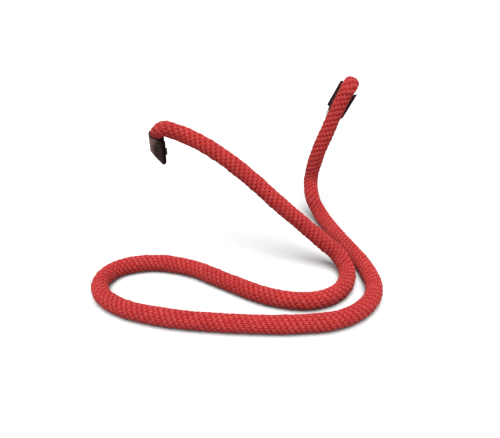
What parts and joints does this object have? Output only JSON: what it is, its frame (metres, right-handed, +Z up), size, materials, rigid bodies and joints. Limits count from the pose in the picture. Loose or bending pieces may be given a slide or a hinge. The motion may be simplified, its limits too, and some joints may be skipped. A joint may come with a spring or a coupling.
{
  "type": "rope camera strap",
  "caption": "Thick red rope strap with folded leather ends, each holding a plain ring, shown held by its rings with its middle lying in loops.",
  "frame": {"origin": "midway between the two rings' seats in their leather keepers, the points that the strap hangs by", "axes": "+X from the left end to the right end, +Y away from the viewer, +Z up; the lying loops rest 58 mm below the origin"},
  "size_m": [0.2174, 0.1718, 0.1059],
  "materials": {
    "rope": "matte knitted cover",
    "leather": "waxed, satin",
    "ring": "polished"
  },
  "bodies": {
    "root": {"rope": "rope", "left_leather_end": "leather", "left_rope_tail": "rope", "left_ring": "ring", "right_leather_end": "leather", "right_rope_tail": "rope", "right_ring": "ring"}
  },
  "joints": []
}
